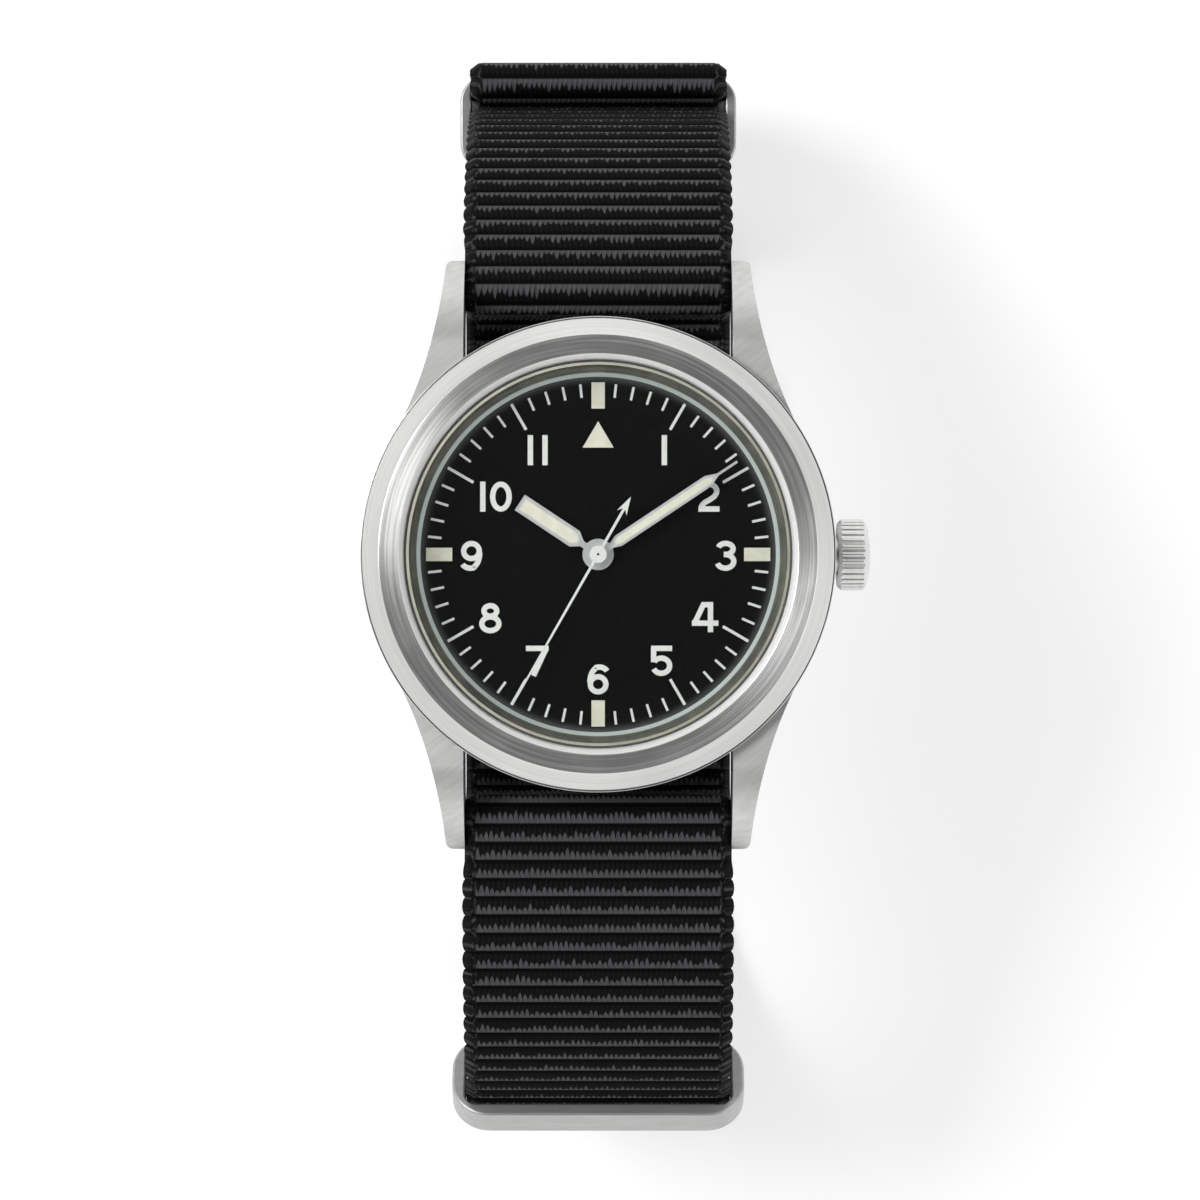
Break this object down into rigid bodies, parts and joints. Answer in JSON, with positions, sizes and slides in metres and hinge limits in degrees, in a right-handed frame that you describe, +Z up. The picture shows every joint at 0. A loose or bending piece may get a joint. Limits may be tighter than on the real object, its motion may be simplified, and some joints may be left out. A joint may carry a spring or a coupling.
{
  "type": "wristwatch",
  "caption": "Hand-wound field watch with a steel case, black dial with arabic numerals and lume, on a ribbed one-piece webbing strap closed in a loop with steel keepers and a pin buckle",
  "frame": {"origin": "on the outer face of the strap's flat bottom run, straight under the centre of the dial", "axes": "+Z is up out of the dial, +Y is towards 12 o'clock and +X is towards the crown"},
  "size_m": [0.0384, 0.0849, 0.0468],
  "materials": {
    "case_steel": "brushed lug tops and bezel top, satin flanks, one polished edge round the crystal",
    "buckle_steel": "satin with polished edges",
    "bar_steel": "turned",
    "hand_steel": "satin silver",
    "hand_white": "white paint",
    "crystal": "clear, polished, domed",
    "rehaut_paint": "dark satin",
    "dial_black": "matte black with cream print",
    "lume": "cream luminous paint",
    "gasket": "matte",
    "webbing": "black ribbed nylon webbing with a braided edge",
    "ring_plastic": "matte grey",
    "plate_brass": "plated, fine stripes",
    "wheel_brass": "gilt",
    "movement_steel": "fine ground",
    "spring_steel": "tempered",
    "ruby": "polished synthetic ruby"
  },
  "bodies": {
    "watch": {"mid_case": "case_steel", "case_back": "case_steel", "bezel": "case_steel", "rehaut_ring": "rehaut_paint", "crown_tube": "case_steel", "crystal": "crystal", "case_back_gasket": "gasket", "crystal_gasket": "gasket", "dial": "dial_black", "dial_lume": "lume", "spring_bar_tubes": "bar_steel", "spring_bar_springs": "spring_steel", "main_strap": "webbing", "under_strap": "webbing", "strap_ring": "buckle_steel", "upper_keeper": "buckle_steel", "lower_keeper": "buckle_steel", "buckle_frame": "buckle_steel", "buckle_bar": "buckle_steel", "movement_ring": "ring_plastic", "main_plate": "plate_brass", "barrel_bridge": "plate_brass", "train_bridge": "plate_brass", "balance_cock": "plate_brass", "pallet_bridge": "plate_brass", "bridge_screws": "movement_steel", "jewels": "ruby", "hairspring": "spring_steel", "click_spring": "spring_steel"},
    "escape": {"escape_wheel": "movement_steel"},
    "seconds": {"seconds_wheel": "wheel_brass", "seconds_hand": "hand_white"},
    "third": {"third_wheel": "wheel_brass"},
    "intermediate": {"intermediate_wheel": "wheel_brass"},
    "barrel": {"barrel": "wheel_brass", "mainspring": "spring_steel"},
    "minute": {"cannon_pinion": "movement_steel", "minute_hand": "hand_steel", "minute_lume": "lume"},
    "motion": {"minute_wheel": "wheel_brass"},
    "hour": {"hour_wheel": "wheel_brass", "hour_hand": "hand_steel", "hour_lume": "lume"},
    "pallet": {"pallet_fork": "movement_steel"},
    "balance": {"balance_wheel": "wheel_brass"},
    "clutch": {"sliding_pinion": "movement_steel", "winding_pinion": "movement_steel"},
    "crown": {"crown": "case_steel", "crown_gasket": "gasket", "winding_stem": "movement_steel"},
    "crown_wheel": {"crown_wheel": "movement_steel"},
    "ratchet": {"ratchet_wheel": "movement_steel", "barrel_arbor": "movement_steel"},
    "setting_lever": {"setting_lever": "movement_steel"},
    "click": {"click": "movement_steel"},
    "tip_12_left": {"tip_12_left": "bar_steel"},
    "tip_12_right": {"tip_12_right": "bar_steel"},
    "tip_6_left": {"tip_6_left": "bar_steel"},
    "tip_6_right": {"tip_6_right": "bar_steel"},
    "tongue": {"buckle_tongue": "buckle_steel"}
  },
  "joints": [
    {"name": "escape_turn", "type": "hinge", "parent": "watch", "child": "escape", "pos_m": [-0.00177, -0.00252, 0.039], "axis": [0, 0, 1], "continuous": true},
    {"name": "seconds_turn", "type": "hinge", "parent": "watch", "child": "seconds", "pos_m": [0, 0, 0.0405], "axis": [0, 0, 1], "continuous": true},
    {"name": "third_turn", "type": "hinge", "parent": "watch", "child": "third", "pos_m": [-0.00284, 0.00256, 0.039], "axis": [0, 0, 1], "continuous": true},
    {"name": "intermediate_turn", "type": "hinge", "parent": "watch", "child": "intermediate", "pos_m": [0.0011, 0.00472, 0.039], "axis": [0, 0, 1], "continuous": true},
    {"name": "barrel_turn", "type": "hinge", "parent": "watch", "child": "barrel", "pos_m": [0.00601, 0.00513, 0.039], "axis": [0, 0, 1], "continuous": true},
    {"name": "minute_turn", "type": "hinge", "parent": "watch", "child": "minute", "pos_m": [0, 0, 0.041], "axis": [0, 0, 1], "continuous": true},
    {"name": "minute_wheel_turn", "type": "hinge", "parent": "watch", "child": "motion", "pos_m": [-0.00226, -0.00082, 0.041], "axis": [0, 0, 1], "continuous": true},
    {"name": "hour_turn", "type": "hinge", "parent": "watch", "child": "hour", "pos_m": [0, 0, 0.041], "axis": [0, 0, 1], "continuous": true},
    {"name": "pallet_swing", "type": "hinge", "parent": "watch", "child": "pallet", "pos_m": [-0.00309, -0.00442, 0.039], "axis": [0, 0, 1], "range_deg": [-3, 3]},
    {"name": "balance_swing", "type": "hinge", "parent": "watch", "child": "balance", "pos_m": [-0.00467, -0.00667, 0.039], "axis": [0, 0, 1], "range_deg": [-135, 135]},
    {"name": "crown_turn", "type": "hinge", "parent": "watch", "child": "clutch", "pos_m": [0, 0, 0.0394], "axis": [1, 0, 0], "continuous": true},
    {"name": "crown_pull", "type": "slide", "parent": "clutch", "child": "crown", "axis": [1, 0, 0], "range_m": [0, 0.001]},
    {"name": "crown_wheel_turn", "type": "hinge", "parent": "watch", "child": "crown_wheel", "pos_m": [0.00769, 0, 0.0375], "axis": [0, 0, 1], "continuous": true},
    {"name": "ratchet_turn", "type": "hinge", "parent": "watch", "child": "ratchet", "pos_m": [0.00601, 0.00513, 0.0375], "axis": [0, 0, 1], "continuous": true},
    {"name": "setting_lever_swing", "type": "hinge", "parent": "watch", "child": "setting_lever", "pos_m": [0.0109, 0.00235, 0.0407], "axis": [0, 0, 1], "range_deg": [-1, 25]},
    {"name": "click_swing", "type": "hinge", "parent": "watch", "child": "click", "pos_m": [0.0052, 0.0102, 0.0375], "axis": [0, 0, 1], "range_deg": [0, 10]},
    {"name": "tip_12_left_slide", "type": "slide", "parent": "watch", "child": "tip_12_left", "axis": [1, 0, 0], "range_m": [0, 0.0009], "stiffness_N_per_m": 200, "deforming": ["spring_bar_springs"]},
    {"name": "tip_12_right_slide", "type": "slide", "parent": "watch", "child": "tip_12_right", "axis": [-1, 0, 0], "range_m": [0, 0.0009], "stiffness_N_per_m": 200, "deforming": ["spring_bar_springs"]},
    {"name": "tip_6_left_slide", "type": "slide", "parent": "watch", "child": "tip_6_left", "axis": [1, 0, 0], "range_m": [0, 0.0009], "stiffness_N_per_m": 200, "deforming": ["spring_bar_springs"]},
    {"name": "tip_6_right_slide", "type": "slide", "parent": "watch", "child": "tip_6_right", "axis": [-1, 0, 0], "range_m": [0, 0.0009], "stiffness_N_per_m": 200, "deforming": ["spring_bar_springs"]},
    {"name": "tongue_swing", "type": "hinge", "parent": "watch", "child": "tongue", "pos_m": [0, 0.0155, 0.0032], "axis": [1, 0, 0], "range_deg": [0, 3]}
  ],
  "couplings": [
    {"joint": "seconds_turn", "follows": "escape_turn", "ratio": -0.1},
    {"joint": "third_turn", "follows": "escape_turn", "ratio": 0.013333},
    {"joint": "intermediate_turn", "follows": "escape_turn", "ratio": -0.0016667},
    {"joint": "barrel_turn", "follows": "escape_turn", "ratio": 0.00028571},
    {"joint": "minute_wheel_turn", "follows": "minute_turn", "ratio": -0.33333},
    {"joint": "hour_turn", "follows": "minute_turn", "ratio": 0.083333},
    {"joint": "crown_wheel_turn", "follows": "crown_turn", "ratio": 0.83333},
    {"joint": "ratchet_turn", "follows": "crown_turn", "ratio": -0.41667},
    {"joint": "setting_lever_swing", "follows": "crown_pull", "rad_per_m": 419.76}
  ]
}
